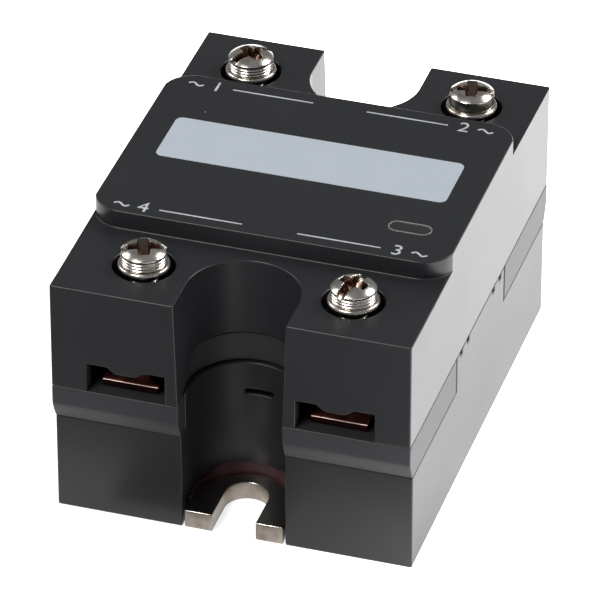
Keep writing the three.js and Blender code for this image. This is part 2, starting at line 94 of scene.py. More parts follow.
class Finish:
    """A material made of nodes round one Principled shader."""

    def __init__(self, name, **constants):
        self.material = bpy.data.materials.new(name)
        self.material.use_nodes = True
        self.tree = self.material.node_tree
        self.shader = self.tree.nodes["Principled BSDF"]
        self.place = self.node("ShaderNodeTexCoord", {}, {}, "Object")
        for socket, value in constants.items():
            self.set(socket.replace("_", " ").title().replace("Ior", "IOR"), value)

    def set(self, socket, value):
        self.feed(self.shader.inputs[socket], value)

    def feed(self, socket, value):
        if isinstance(value, Value):
            self.tree.links.new(value.socket, socket)
        elif socket.type == "RGBA":
            socket.default_value = (*value, 1)
        else:
            socket.default_value = value

    def node(self, kind, settings, inputs, output=0):
        """A node of any kind: its settings first, then its sockets' values or links."""
        made = self.tree.nodes.new(kind)
        for key, value in settings.items():
            if key == "stops":
                for position, level in value[2:]:
                    made.color_ramp.elements.new(position)
                for element, (position, level) in zip(made.color_ramp.elements, value):
                    element.position = position
                    element.color = (level, level, level, 1)
            else:
                setattr(made, key, value)
        for key, value in inputs.items():
            self.feed(made.inputs[key], value)
        return Value(self, made.outputs[output])

    def noise(self, per_metre, detail=3.0, stretch=(1, 1, 1)):
        """Soft noise of so many features to a metre, drawn out along an axis by a small stretch."""
        place = self.node("ShaderNodeMapping", {}, {"Vector": self.place, "Scale": stretch})
        inputs = {"Vector": place, "Scale": per_metre, "Detail": detail}
        return self.node("ShaderNodeTexNoise", {}, inputs, "Fac")

    def ramp(self, value, *stops):
        return self.node("ShaderNodeValToRGB", {"stops": stops}, {"Fac": value})

    def mix(self, share, first, second):
        """The colour first where share is 0, and second where it is 1."""
        inputs = {0: share, 6: first, 7: second}
        return self.node("ShaderNodeMix", {"data_type": "RGBA"}, inputs, 2)

    def facing_up(self):
        """1 on a face that looks straight up, 0 on a wall."""
        normal = self.node("ShaderNodeNewGeometry", {}, {}, "Normal")
        return self.node("ShaderNodeSeparateXYZ", {}, {"Vector": normal}, "Z")

    def bump(self, height, depth):
        """Raises the surface by depth millimetres where height is 1."""
        inputs = {"Height": height, "Distance": depth * MM, "Strength": 1.0}
        self.set("Normal", self.node("ShaderNodeBump", {}, inputs, "Normal"))


def arc(centre, radius, start, stop, steps=16):
    """Points of an arc between two angles in degrees."""
    angles = [math.radians(start + (stop - start) * i / steps) for i in range(steps + 1)]
    return [(centre[0] + radius * math.cos(a), centre[1] + radius * math.sin(a)) for a in angles]


def rounded(centre, wide, long, corner, steps=10):
    """A rectangle with rounded corners, anticlockwise."""
    points = []
    for start, dx, dy in ((270, 1, -1), (0, 1, 1), (90, -1, 1), (180, -1, -1)):
        middle = (centre[0] + dx * (wide / 2 - corner), centre[1] + dy * (long / 2 - corner))
        points += arc(middle, corner, start, start + 90, steps)
    return points


def loft(sections):
    """A closed solid through rings of as many points each, capped at both ends."""
    solid = bmesh.new()
    rings = [[solid.verts.new(point) for point in section] for section in sections]
    solid.faces.new(rings[0])
    solid.faces.new(rings[-1])
    for low, high in zip(rings, rings[1:]):
        for i in range(len(low)):
            j = (i + 1) % len(low)
            solid.faces.new((low[i], low[j], high[j], high[i]))
    bmesh.ops.remove_doubles(solid, verts=solid.verts, dist=1e-5)
    bmesh.ops.recalc_face_normals(solid, faces=solid.faces)
    return solid


def prism(outline, low, high):
    return loft([[(x, y, z) for x, y in outline] for z in (low, high)])


def prism_along_x(outline, low, high):
    """A prism whose outline is drawn in Y and Z."""
    return loft([[(x, y, z) for y, z in outline] for x in (low, high)])


def prism_along_y(outline, low, high):
    """A prism whose outline is drawn in X and Z."""
    return loft([[(x, y, z) for x, z in outline] for y in (low, high)])


def block(x0, x1, y0, y1, z0, z1):
    return prism([(x0, y0), (x1, y0), (x1, y1), (x0, y1)], z0, z1)


def rod(x, y, low, high, radius, steps=64):
    return prism(arc((x, y), radius, 0, 360 - 360 / steps, steps - 1), low, high)


def as_object(solid):
    mesh = bpy.data.meshes.new("solid")
    solid.to_mesh(mesh)
    solid.free()
    made = bpy.data.objects.new("solid", mesh)
    bpy.context.scene.collection.objects.link(made)
    return made


def combine(operation, body, others):
    """Joins the others to body, cuts them from it, or keeps what it shares with them."""
    made = as_object(body)
    tools = [as_object(other) for other in others]
    for tool in tools:
        step = made.modifiers.new("step", "BOOLEAN")
        step.operation = operation
        step.solver = "MANIFOLD"
        step.object = tool
    bpy.context.view_layer.update()
    evaluated = made.evaluated_get(bpy.context.evaluated_depsgraph_get())
    result = bmesh.new()
    result.from_mesh(evaluated.to_mesh())
    evaluated.to_mesh_clear()
    for used in (made, *tools):
        bpy.data.meshes.remove(used.data)
    bmesh.ops.remove_doubles(result, verts=result.verts, dist=1e-4)
    return result


def join(body, *others):
    return combine("UNION", body, others)


def cut(body, *others):
    return combine("DIFFERENCE", body, others)


def round_edges(piece, radius, segments=3):
    """Rounds every edge sharper than the steps of an arc, and keeps flat faces flat."""
    bevel = piece.modifiers.new("rounded_edges", "BEVEL")
    bevel.width = radius * MM
    bevel.segments = segments
    bevel.limit_method = "ANGLE"
    bevel.angle_limit = math.radians(32)
    bevel.use_clamp_overlap = False
    shading = piece.modifiers.new("flat_faces", "WEIGHTED_NORMAL")
    shading.keep_sharp = True


def make_piece(name, solid, finish, nodes, body="relay_case", edge=0.2, segments=3):
    """Turns a solid in millimetres into a piece that stands for CAD nodes on a body."""
    flat = math.radians(0.05)
    bmesh.ops.dissolve_limit(solid, angle_limit=flat, verts=solid.verts, edges=solid.edges)
    bmesh.ops.recalc_face_normals(solid, faces=solid.faces)
    solid.transform(Matrix.Scale(MM, 4))
    piece = as_object(solid)
    piece.name = name
    piece.data.name = name
    piece.data.shade_smooth()
    piece.data.materials.append(finish.material)
    if edge:
        round_edges(piece, edge, segments)
    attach(piece, body)
    if nodes:
        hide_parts(*nodes)
    return piece


plate_low, plate_high = span("base_plate")
cover_high = span("top_cover")[1]
SHEET_WIDTH = 39.2
SHEET_LENGTH = 51.2
SHEET_CORNER = 1
TONGUE_HALF = 6.1
SLOT_CENTRE = 23.8
SLOT_RADIUS = 2.7
MOUTH = cover_high.y + 3
ABOVE = 40


def channel(end, centre, radius, steps=40):
    """An outline that is round inside and runs straight out past the end of the case."""
    points = [(radius, -MOUTH), *arc((0, -centre), radius, 0, 180, steps), (-radius, -MOUTH)]
    return [(-end * x, -end * y) for x, y in points]


sheet = prism(rounded((0, 0), SHEET_WIDTH, SHEET_LENGTH, SHEET_CORNER), 0, plate_high.z)
tongues = block(-TONGUE_HALF, TONGUE_HALF, plate_low.y, plate_high.y, 0, plate_high.z)
slots = [prism(channel(end, SLOT_CENTRE, SLOT_RADIUS), -1, plate_high.z + 1) for end in ENDS]

plated = Finish("nickel_plated_sheet", metallic=1.0)
shear_marks = plated.noise(900, 4, (1, 1, 0.12))
stain = plated.noise(420, 5)
rolled = plated.noise(1500, 2, (0.05, 1, 1))
face = plated.facing_up() * plated.facing_up() > 0.36
edge_tone = plated.mix(plated.ramp(stain, (0.35, 0), (0.7, 1)), (0.33, 0.295, 0.255), (0.17, 0.135, 0.105))
face_tone = plated.mix(stain, (0.56, 0.53, 0.49), (0.42, 0.37, 0.32))
plated.set("Base Color", plated.mix(face, edge_tone, face_tone))
plated.set("Roughness", 0.34 + stain * 0.16 - face * (0.24 - rolled * 0.06))
plated.bump(shear_marks * (1 - face) + rolled * face * 0.08, 0.03)
make_piece("base_plate_sheet", cut(join(sheet, tongues), *slots), plated,
           ["base_plate"], edge=0.14)

# ---- Seal ----------------------------------------------------------------------------
# A dark red silicone bead, laid round the plate before the housing is pressed on. It
# squeezes out into the foot of each bay, where it shows as a rounded fillet.

SEAL_TOP = span("base_seal")[1].z
BAY_CENTRE = 24.8
BAY_RADIUS = 6.4
BEAD_HEIGHT = 1.25
BEAD_STEPS = 48
RIM_INSET = 0.3
POWER_STAGE_ROOM = (34, 31)


def bead_fillet(end):
    """The squeezed-out bead: a bulging section that follows the wall of the bay."""
    wall, foot = BAY_RADIUS + 0.05, plate_high.z - 0.02
    section = [(wall, foot), (wall - 0.85, foot), (wall - 0.65, foot + 0.35),
               (wall - 0.35, foot + 0.75), (wall - 0.1, foot + 1.05), (wall, foot + BEAD_HEIGHT)]
    rings = []
    for step in range(BEAD_STEPS + 1):
        turn = math.radians(12 + 156 * step / BEAD_STEPS)
        taper = min(1, 0.15 + step / 14, 0.15 + (BEAD_STEPS - step) / 14)
        swell = taper * (1 + 0.1 * math.sin(3.7 * turn) + 0.06 * math.sin(9.1 * turn))
        ring = []
        for radius, height in section:
            reach = wall - (wall - radius) * swell
            x, y = reach * math.cos(turn), -BAY_CENTRE + reach * math.sin(turn)
            ring.append((-end * x, -end * y, foot + (height - foot) * swell))
        rings.append(ring)
    return loft(rings)


rim_size = (SHEET_WIDTH - 2 * RIM_INSET, SHEET_LENGTH - 2 * RIM_INSET)
rim = prism(rounded((0, 0), *rim_size, SHEET_CORNER), plate_high.z, SEAL_TOP)
middle_room = prism(rounded((0, 0), *POWER_STAGE_ROOM, SHEET_CORNER), 0, SEAL_TOP + 1)
bay_rooms = [prism(channel(end, BAY_CENTRE, BAY_RADIUS - RIM_INSET), 0, SEAL_TOP + 1) for end in ENDS]
silicone = Finish("red_silicone", roughness=0.62, ior=1.40)
silicone.set("Base Color", silicone.mix(silicone.noise(700), (0.032, 0.009, 0.013), (0.056, 0.015, 0.021)))
silicone.bump(silicone.noise(1400, 3), 0.05)
make_piece("seal_under_housing", cut(rim, middle_room, *bay_rooms), silicone,
           ["base_seal"], edge=0.12)
for end, word in zip(ENDS, ("front", "rear")):
    make_piece("seal_fillet_" + word, bead_fillet(end), silicone, [], edge=0)

# ---- Lower housing -------------------------------------------------------------------
# The tub that everything stands in: black glass-filled plastic from an injection mould,
# with a faint satin grain. Its ends stand back a little under the terminal carriers.

HOUSING_END = span("lower_housing")[1].y
CARRIER_FOOT = span("terminal_carrier_front")[0].z
SIDE = cover_high.x
COVER_FOOT = span("control_board")[0].z
WALL = 1.8
MIDDLE_HALF = 10.3
TERMINALS = {word: (span("screw_washer_" + word)[0] + span("screw_washer_" + word)[1]) / 2
             for word in ("front_left", "front_right", "rear_left", "rear_right")}
SHANK_ROOM = 2.2
BLIND_HOLE_FOOT = 3.6
BAY_WALL = 1.5
LINER_WALL = 0.8
LINER_END = 27
PLATE_CLEARANCE = 0.2
GAP = 0.3
LATCH_FOOT = 14.6
SCREW_BLOCK_X = (7, 18.6)
SCREW_BLOCK_Y = (18.2, 27.5)
BOARD_REST_REACH = 17.4
BOARD_REST_HALF = 3.5
BOARD_REST_FOOT = 12.3
SLIT_HALF = 1.75
SLIT_BACK = 15.4
SLIT_HEIGHTS = (13.35, 14.05)


def sign(number):
    return math.copysign(1, number)


def latch_window(side, end):
    """The hole in the tub's wall that the hook of a latch springs into."""
    return block(side * 20.1, side * 21.3, end * 4.7, end * 9.3, LATCH_FOOT - GAP, LATCH_FOOT + 1.3)


def latch_gap(side, end, start):
    """The notch that shows at the parting line beside a snap latch."""
    return block(side * (SIDE - 0.5), side * (SIDE + 1), end * start, end * (start + 0.9),
                 COVER_FOOT - 0.75, COVER_FOOT + 1)


def bay_liner(end, radius, top, reach):
    """The tub lines the round of the bay up to the cover, inside the carrier."""
    room = block(-SIDE, SIDE, 0, end * reach, 0, top)
    return combine("INTERSECT", prism(channel(end, BAY_CENTRE, radius), CARRIER_FOOT - 1, top), [room])


def bay_slit(end):
    """A short horizontal slit in the wall at the back of the bay."""
    return block(-SLIT_HALF, SLIT_HALF, end * SLIT_BACK, end * BAY_CENTRE, *SLIT_HEIGHTS)


shell = join(block(-SIDE, SIDE, -HOUSING_END, HOUSING_END, 0, CARRIER_FOOT),
             block(-SIDE, SIDE, -MIDDLE_HALF, MIDDLE_HALF, CARRIER_FOOT - 1, COVER_FOOT))
shell = cut(shell, block(-SIDE + WALL, SIDE - WALL, -HOUSING_END + WALL, HOUSING_END - WALL,
                         SEAL_TOP - 1, ABOVE))
bay_outside = [channel(end, BAY_CENTRE, BAY_RADIUS + BAY_WALL) for end in ENDS]
collars = [combine("INTERSECT", prism(outline, SEAL_TOP, CARRIER_FOOT),
                   [block(-SIDE, SIDE, -HOUSING_END, HOUSING_END, 0, CARRIER_FOOT)])
           for outline in bay_outside]
liners = [bay_liner(end, BAY_RADIUS + LINER_WALL, COVER_FOOT - 0.05, LINER_END) for end in ENDS]
screw_blocks = [block(*(sign(t.x) * x for x in SCREW_BLOCK_X), *(sign(t.y) * y for y in SCREW_BLOCK_Y),
                      SEAL_TOP, CARRIER_FOOT) for t in TERMINALS.values()]
board_rests = [block(side * BOARD_REST_REACH, side * (SIDE - WALL + 1), -BOARD_REST_HALF, BOARD_REST_HALF,
                     BOARD_REST_FOOT, COVER_FOOT) for side in SIDES]
plate_pocket = rounded((0, 0), SHEET_WIDTH + 2 * PLATE_CLEARANCE, SHEET_LENGTH + 2 * PLATE_CLEARANCE,
                       SHEET_CORNER)
shell = cut(
    join(shell, *collars, *liners, *screw_blocks, *board_rests),
    prism(plate_pocket, -1, SEAL_TOP),
    *[prism(channel(end, BAY_CENTRE, BAY_RADIUS), -1, COVER_FOOT + 1) for end in ENDS],
    *[bay_slit(end) for end in ENDS],
    *[rod(t.x, t.y, BLIND_HOLE_FOOT, CARRIER_FOOT + 1, SHANK_ROOM, 32) for t in TERMINALS.values()],
    *[latch_window(side, end) for side in SIDES for end in ENDS],
    *[latch_gap(side, end, start) for side in SIDES for end in ENDS for start in (5.1, 8.0)])


def moulded_plastic(name, tone, gloss, grain_depth):
    """Black moulded plastic: faint flow marks, a satin grain and a few specks of dust."""
    finish = Finish(name, ior=1.4)
    flow = finish.noise(70, 4)
    sink = finish.noise(55, 1, (1, 1, 0.35))
    grain = finish.noise(4200, 2)
    cells = {"Vector": finish.place, "Scale": 330.0}
    speck = finish.node("ShaderNodeTexVoronoi", {"feature": "F1"}, cells, "Distance") < 0.03
    pick = finish.node("ShaderNodeTexVoronoi", {"feature": "F1"}, cells, "Color")
    few = finish.node("ShaderNodeSeparateColor", {}, {"Color": pick}, "Red") > 0.93
    paler = tuple(1.35 * level for level in tone)
    finish.set("Base Color", finish.mix(speck * few, finish.mix(flow, tone, paler), (0.30, 0.30, 0.29)))
    finish.set("Roughness", gloss + flow * 0.06 + grain * 0.06)
    finish.bump(grain + sink * 6, grain_depth)
    return finish


housing_plastic = moulded_plastic("black_housing_plastic", (0.0110, 0.0112, 0.0122), 0.34, 0.006)
make_piece("lower_housing_tub", shell, housing_plastic, ["lower_housing"], edge=0.22)

# ---- Terminal carriers ---------------------------------------------------------------
# A belt across each end, moulded in a slightly greyer and duller plastic. It holds the
# clamp nuts and copper straps, and its foot rolls inwards to meet the tub.

SLOPE_TOP = 15.6
FOOT_INSET = cover_high.y - HOUSING_END - 0.05
NUT_ROOM = 3.8
NUT_HEIGHT = 3.5
CARRIER_BACK = 15.2
ARM_REACH = 20.4
ARM_END = 10.6
COLLAR_INSET = 0.6
COLLAR_WALL = 1.4
SKIRT_START = 16


def belt_outline(end):
    """The belt from the side: upright above, then rolling in towards its foot."""
    front = cover_high.y
    height = SLOPE_TOP - CARRIER_FOOT
    points = [(CARRIER_BACK, CARRIER_FOOT), (CARRIER_BACK, COVER_FOOT), (front, COVER_FOOT),
              (front, SLOPE_TOP)]
    for step in range(1, 9):
        share = step / 8
        points.append((front - FOOT_INSET * share ** 1.35, SLOPE_TOP - height * share))
    return [(end * y, z) for y, z in points]


SKIRT_CURVE = ((22.6, 22.1), (23.4, 21.75), (24.1, 21.2), (24.7, 20.5), (25.3, 19.9), (26.0, 19.35),
               (26.8, 18.9), (28.0, 18.4))


def under_skirt(end, clearance):
    """The room under the bay wall of the cover, whose foot sweeps down towards the end."""
    curve = [(end * (y - clearance), z - clearance) for y, z in SKIRT_CURVE]
    start, last = end * (SKIRT_START + clearance), end * (SKIRT_CURVE[-1][0] - clearance)
    outline = [(start, 0), (start, SKIRT_CURVE[0][1] - clearance), *curve, (last, 0)]
    half = BAY_RADIUS + COLLAR_INSET + COLLAR_WALL + GAP - clearance
    return prism_along_x(outline, -half, half)


def terminal_carrier(end):
    own = [t for t in TERMINALS.values() if sign(t.y) == end]
    arms = [block(side * ARM_REACH, side * SIDE, end * ARM_END, end * (CARRIER_BACK + 1),
                  CARRIER_FOOT, COVER_FOOT) for side in SIDES]
    collar_outline = channel(end, BAY_CENTRE, BAY_RADIUS + COLLAR_INSET + COLLAR_WALL)
    collar = combine("INTERSECT", prism(collar_outline, COVER_FOOT - 1, ABOVE), [under_skirt(end, GAP)])
    return cut(
        join(prism_along_x(belt_outline(end), -SIDE, SIDE), *arms, collar),
        prism(channel(end, BAY_CENTRE, BAY_RADIUS), 0, COVER_FOOT),
        bay_liner(end, BAY_RADIUS + LINER_WALL + GAP, COVER_FOOT, LINER_END + GAP),
        prism(channel(end, BAY_CENTRE, BAY_RADIUS + COLLAR_INSET), COVER_FOOT - 0.02, ABOVE),
        bay_slit(end),
        *[block(t.x - NUT_ROOM, t.x + NUT_ROOM, t.y - NUT_ROOM, t.y + NUT_ROOM,
                COVER_FOOT - NUT_HEIGHT, ABOVE) for t in own],
        *[rod(t.x, t.y, 0, ABOVE, SHANK_ROOM, 32) for t in own])


carrier_plastic = moulded_plastic("grey_black_carrier_plastic", (0.0185, 0.0190, 0.0205), 0.42, 0.01)
for end, word in zip(ENDS, ("front", "rear")):
    make_piece("carrier_belt_" + word, terminal_carrier(end), carrier_plastic,
               ["terminal_carrier_" + word], edge=0.16)


# ---- Nuts and straps -----------------------------------------------------------------
# Square nickel-plated nuts lie in the carriers, and bare copper straps over them lead
# inwards. Punched copper, darkened a little by the air, with softened edges. Painted
# shade darkens its cut walls, and a painted highlight lightens its rounded rims.

def keep_node(node, finish, edge=0.06):
    """Shows a CAD node as it is, with softened edges and this finish."""
    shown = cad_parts[node]
    shown.data.materials.clear()
    shown.data.materials.append(finish.material)
    shown.data.shade_smooth()
    weld = shown.modifiers.new("closed_seams", "WELD")
    weld.merge_threshold = 1e-6
    flat = shown.modifiers.new("flat_facets", "DECIMATE")
    flat.decimate_type = "DISSOLVE"
    flat.angle_limit = math.radians(0.5)
    round_edges(shown, edge, 2)


def plated_nickel(name):
    """Turned steel under bright nickel, tarnished brown in patches."""
    finish = Finish(name, metallic=1.0)
    tarnish = finish.noise(900, 4)
    scuffs = finish.noise(3000, 3, (1, 1, 3))
    patches = finish.ramp(tarnish, (0.42, 0), (0.72, 1))
    finish.tone = finish.mix(patches, (0.62, 0.59, 0.55), (0.40, 0.34, 0.285))
    finish.set("Base Color", finish.tone)
    finish.set("Roughness", 0.13 + scuffs * 0.14)
    finish.bump(scuffs, 0.008)
    return finish


nickel = plated_nickel("turned_nickel")

copper = Finish("punched_copper", metallic=1.0)
oxide = copper.noise(600, 5)
flat_face = copper.facing_up() > 0.9
# Painted light: the cut walls are painted near black, partly as oxide and partly as painted shade, and the
# rounded rim between wall and top is painted pale as a highlight line.
rim_highlight = (copper.facing_up() > 0.2) * (1 - flat_face)
face_tone = copper.mix(copper.ramp(oxide, (0.35, 0), (0.7, 1)), (0.70, 0.27, 0.20), (0.34, 0.10, 0.085))
wall_shade_rim_highlight = copper.mix(rim_highlight, (0.030, 0.012, 0.011), (0.50, 0.36, 0.31))
copper.set("Base Color", copper.mix(flat_face, wall_shade_rim_highlight, face_tone))
copper.set("Roughness", 0.42 + oxide * 0.2 - rim_highlight * 0.22)
copper.bump(copper.noise(2600, 3, (1, 0.2, 1)), 0.01)

for word in TERMINALS:
    keep_node("clamp_nut_" + word, nickel, 0.2)
for word in ("left", "right"):
    keep_node("input_terminal_" + word, copper, 0.12)
    keep_node("load_terminal_" + word, copper, 0.12)

# ---- Power stage ---------------------------------------------------------------------
# Two thyristor dies on copper pads, fired onto a white alumina tile that is soldered to
# the plate. Copper clips bridge them, and a cloudy silicone gel fills the tub above.

alumina = Finish("fired_alumina", roughness=0.6)
alumina.set("Base Color", alumina.mix(alumina.noise(500), (0.78, 0.76, 0.71), (0.86, 0.84, 0.80)))
alumina.bump(alumina.noise(3000), 0.006)
keep_node("ceramic_substrate", alumina, 0.05)

silicon = Finish("silicon_die", metallic=0.6, roughness=0.22)
border = silicon.noise(260, 2)
polish = silicon.ramp(border, (0.4, 0), (0.6, 1))
silicon.set("Base Color", silicon.mix(polish, (0.09, 0.095, 0.115), (0.16, 0.15, 0.17)))
silicon.bump(silicon.noise(4000), 0.002)

tinned = Finish("tinned_wire", metallic=1.0)
dull = tinned.noise(1400, 4)
tinned.set("Base Color", tinned.mix(dull, (0.72, 0.72, 0.72), (0.52, 0.52, 0.54)))
tinned.set("Roughness", 0.24 + dull * 0.25)
tinned.bump(dull, 0.01)

for word in ("left", "right"):
    keep_node("copper_pad_" + word, copper, 0.05)
    keep_node("thyristor_die_" + word, silicon, 0.03)
    keep_node("thyristor_clip_" + word, copper, 0.08)
    keep_node("gate_lead_" + word, tinned, 0.04)
    keep_node("input_jumper_" + word, tinned, 0.12)

gel = Finish("silicone_gel", roughness=0.12, ior=1.41, transmission_weight=0.55)
cloud = gel.noise(160, 3)
gel.set("Base Color", gel.mix(cloud, (0.72, 0.69, 0.60), (0.60, 0.56, 0.47)))
gel.bump(gel.noise(120, 2), 0.2)
keep_node("potting_gel", gel, 0.3)

# ---- Control board -------------------------------------------------------------------
# A glass-epoxy board across the case carries the input side: optocoupler, bridge,
# snubber capacitor and two axial resistors, all bought-in parts soldered to it.

solder_mask = Finish("green_solder_mask", roughness=0.32, coat_weight=0.4, coat_roughness=0.15)
tracks = solder_mask.node("ShaderNodeTexBrick", {}, {"Vector": solder_mask.place, "Scale": 260.0,
                                                     "Mortar Size": 0.09}, "Fac")
weave = solder_mask.noise(2200, 2)
solder_mask.set("Base Color", solder_mask.mix(tracks, (0.018, 0.125, 0.045), (0.035, 0.20, 0.075)))
solder_mask.bump(tracks + weave * 0.3, 0.035)
keep_node("control_board", solder_mask, 0.08)

epoxy = Finish("black_moulding_epoxy", ior=1.55)
pores = epoxy.noise(3200, 3)
epoxy.set("Base Color", epoxy.mix(pores, (0.010, 0.010, 0.011), (0.020, 0.020, 0.020)))
epoxy.set("Roughness", 0.45 + pores * 0.15)
epoxy.bump(pores, 0.012)
keep_node("optocoupler", epoxy, 0.12)
keep_node("bridge_rectifier", epoxy, 0.12)

film_case = Finish("yellow_capacitor_case", roughness=0.3, ior=1.5)
film_tone = film_case.noise(240, 3)
film_case.set("Base Color", film_case.mix(film_tone, (0.60, 0.37, 0.045), (0.66, 0.43, 0.07)))
film_case.bump(film_case.noise(1800, 2), 0.01)
keep_node("snubber_capacitor", film_case, 0.35)


def banded_lacquer(name, node, bands):
    """Tan lacquer with coloured value bands round the barrel; a band is (start, stop, colour)."""
    low, high = span(node)
    finish = Finish(name, roughness=0.38)
    across = finish.node("ShaderNodeSeparateXYZ", {}, {"Vector": finish.place}, "X")
    share = (across - low.x * MM) * (1 / ((high.x - low.x) * MM))
    tone = finish.mix(finish.noise(500), (0.50, 0.40, 0.25), (0.58, 0.48, 0.31))
    for start, stop, colour in bands:
        tone = finish.mix((share > start) * (share < stop), tone, colour)
    wire = (share < 0.13) + (share > 0.87)
    finish.set("Base Color", finish.mix(wire, tone, (0.60, 0.60, 0.61)))
    finish.set("Metallic", wire)
    finish.bump(finish.noise(2000, 2), 0.01)
    return finish


brown, black, red, gold = (0.10, 0.035, 0.012), (0.01, 0.01, 0.01), (0.45, 0.02, 0.015), (0.55, 0.36, 0.08)
snubber_bands = [(0.24, 0.30, brown), (0.36, 0.42, black), (0.48, 0.54, brown), (0.68, 0.74, gold)]
input_bands = [(0.26, 0.32, red), (0.38, 0.44, red), (0.50, 0.56, brown), (0.68, 0.74, gold)]
keep_node("snubber_resistor", banded_lacquer("snubber_resistor_lacquer", "snubber_resistor", snubber_bands),
          0.1)
keep_node("input_resistor", banded_lacquer("input_resistor_lacquer", "input_resistor", input_bands),
          0.1)

# ---- Top cover -----------------------------------------------------------------------
# The cover, moulded in black with a fine satin face. A raised plateau crosses it, each
# corner has a screw well and a wire mouth, and a drafted bay runs down each end. It snaps
# into the tub with four latches.

SHOULDER = 32.0
PLATEAU_LENGTH = 32.0
PLATEAU_CORNER = 4.0
BAY_RADIUS_ABOVE = 6.85
WELL_RADIUS = 3.7
MOUTH_HALF = 4.8
MOUTH_TOP = 21.75
TAB_FOOT = 2.5
TAB_ROOT = 4.7
TAB_HEIGHT = 0.8
LAMP = (span("light_pipe")[0] + span("light_pipe")[1]) / 2
WINDOW = (5.2, 2.1)
WINDOW_END = WINDOW[1] / 2
HOLLOW_ROOF = 30
CAVITY_HALF = 15
CORNER_ROOM_X = (7.9, 20.2)
CORNER_ROOM_Y = (16.8, 28.2)
STRAP_ROOM_HALF = 3.9
STRAP_ROOM_Y = (14.8, 17)
STRAP_ROOM_HEIGHT = 1.3
SLEEVE_FOOT = 22.6
SLEEVE_RADIUS = 4.85
LATCH_INNER = 18.9


def drafted_bay(end):
    """The bay in the cover widens upwards, so that the cover leaves its mould."""
    foot = channel(end, BAY_CENTRE, BAY_RADIUS, 64)
    top = channel(end, BAY_CENTRE, BAY_RADIUS_ABOVE, 64)
    low, high = COVER_FOOT - 0.5, SHOULDER + 0.5
    return loft([[(x, y, low) for x, y in foot], [(x, y, high) for x, y in top]])


def wire_mouth(terminal):
    """A wide slot over the strap, with a tab hanging from the middle of its top edge."""
    tab_z = MOUTH_TOP - TAB_HEIGHT
    half = [(MOUTH_HALF, COVER_FOOT - 1), (MOUTH_HALF, MOUTH_TOP), (TAB_ROOT / 2, MOUTH_TOP),
            (TAB_FOOT / 2, tab_z)]
    outline = half + [(-x, z) for x, z in reversed(half)]
    face = sign(terminal.y) * cover_high.y
    inside = sign(terminal.y) * (cover_high.y - 2)
    outside = face + sign(terminal.y)
    return prism_along_y([(terminal.x + x, z) for x, z in outline], inside, outside)


def corner_room(terminal):
    """The hollow behind a wire mouth."""
    span_x = [sign(terminal.x) * x for x in CORNER_ROOM_X]
    span_y = [sign(terminal.y) * y for y in CORNER_ROOM_Y]
    return block(*span_x, *span_y, 0, HOLLOW_ROOF)


def strap_room(terminal):
    """The passage that lets a strap through to the middle of the case."""
    span_y = [sign(terminal.y) * y for y in STRAP_ROOM_Y]
    return block(terminal.x - STRAP_ROOM_HALF, terminal.x + STRAP_ROOM_HALF, *span_y,
                 0, COVER_FOOT + STRAP_ROOM_HEIGHT)


def snap_latch(side, end):
    """A tongue from the cover's wall down into the tub, with a hook on its foot."""
    low, high = end * 5, end * 9
    inner = side * LATCH_INNER
    return join(block(inner, side * 20.6, low, high, COVER_FOOT + GAP, 20.6),
                block(inner, side * 19.9, low, high, LATCH_FOOT, COVER_FOOT + 1),
                block(inner, side * 20.9, low, high, LATCH_FOOT, LATCH_FOOT + 1))


between_sides = block(-SIDE, SIDE, -cover_high.y, cover_high.y, 0, cover_high.z + 1)
plateau_outline = rounded((0, 0), 2 * SIDE + 0.3, PLATEAU_LENGTH, PLATEAU_CORNER, 16)
plateau = combine("INTERSECT", prism(plateau_outline, SHOULDER - 1, cover_high.z), [between_sides])
shell = join(block(-SIDE, SIDE, -cover_high.y, cover_high.y, COVER_FOOT, SHOULDER), plateau)
window_hole = prism(rounded((LAMP.x, LAMP.y), *WINDOW, WINDOW_END - 0.01), HOLLOW_ROOF, ABOVE)
shell = cut(
    shell,
    block(-SIDE + WALL, SIDE - WALL, -CAVITY_HALF, CAVITY_HALF, 0, cover_high.z - 2),
    window_hole,
    *[corner_room(t) for t in TERMINALS.values()],
    *[drafted_bay(end) for end in ENDS],
    *[under_skirt(end, 0) for end in ENDS],
    *[wire_mouth(t) for t in TERMINALS.values()],
    *[strap_room(t) for t in TERMINALS.values()])
sleeves = [rod(t.x, t.y, SLEEVE_FOOT, HOLLOW_ROOF + 1, SLEEVE_RADIUS, 96) for t in TERMINALS.values()]
latches = [snap_latch(side, end) for side in SIDES for end in ENDS]
shell = cut(join(shell, *sleeves, *latches),
            *[rod(t.x, t.y, SLEEVE_FOOT - 1, ABOVE, WELL_RADIUS, 96) for t in TERMINALS.values()])
cover_plastic = moulded_plastic("satin_black_cover_plastic", (0.0120, 0.0124, 0.0138), 0.30, 0.005)
cover = make_piece("top_cover_shell", shell, cover_plastic, ["top_cover"], edge=0.2)

# The sides are flat right up to the ends of the plateau, where its rounded foot runs out.
evaluated = cover.evaluated_get(bpy.context.evaluated_depsgraph_get())
settled = bpy.data.meshes.new_from_object(evaluated)
for vertex in settled.vertices:
    vertex.co.x = max(-SIDE * MM, min(SIDE * MM, vertex.co.x))
cover.modifiers.clear()
cover.data = settled

# ---- Window and lamp -----------------------------------------------------------------
# A smoked acrylic light pipe, pressed in from below until its flat face is level with
# the plateau, inside a thin rim of polished plastic. A clear green lamp stands under it.

PIPE_CLEARANCE = 0.12
PIPE_FOOT = 23
RIM_OUT = 0.08
RIM_IN = 0.11


def oblong(grow, flat, low, high):
    """The window's outline grown by so much all round, with a little flat left at each end."""
    wide, long = (size + 2 * grow for size in WINDOW)
    return prism(rounded((LAMP.x, LAMP.y), wide, long, long / 2 - flat, 14), low, high)


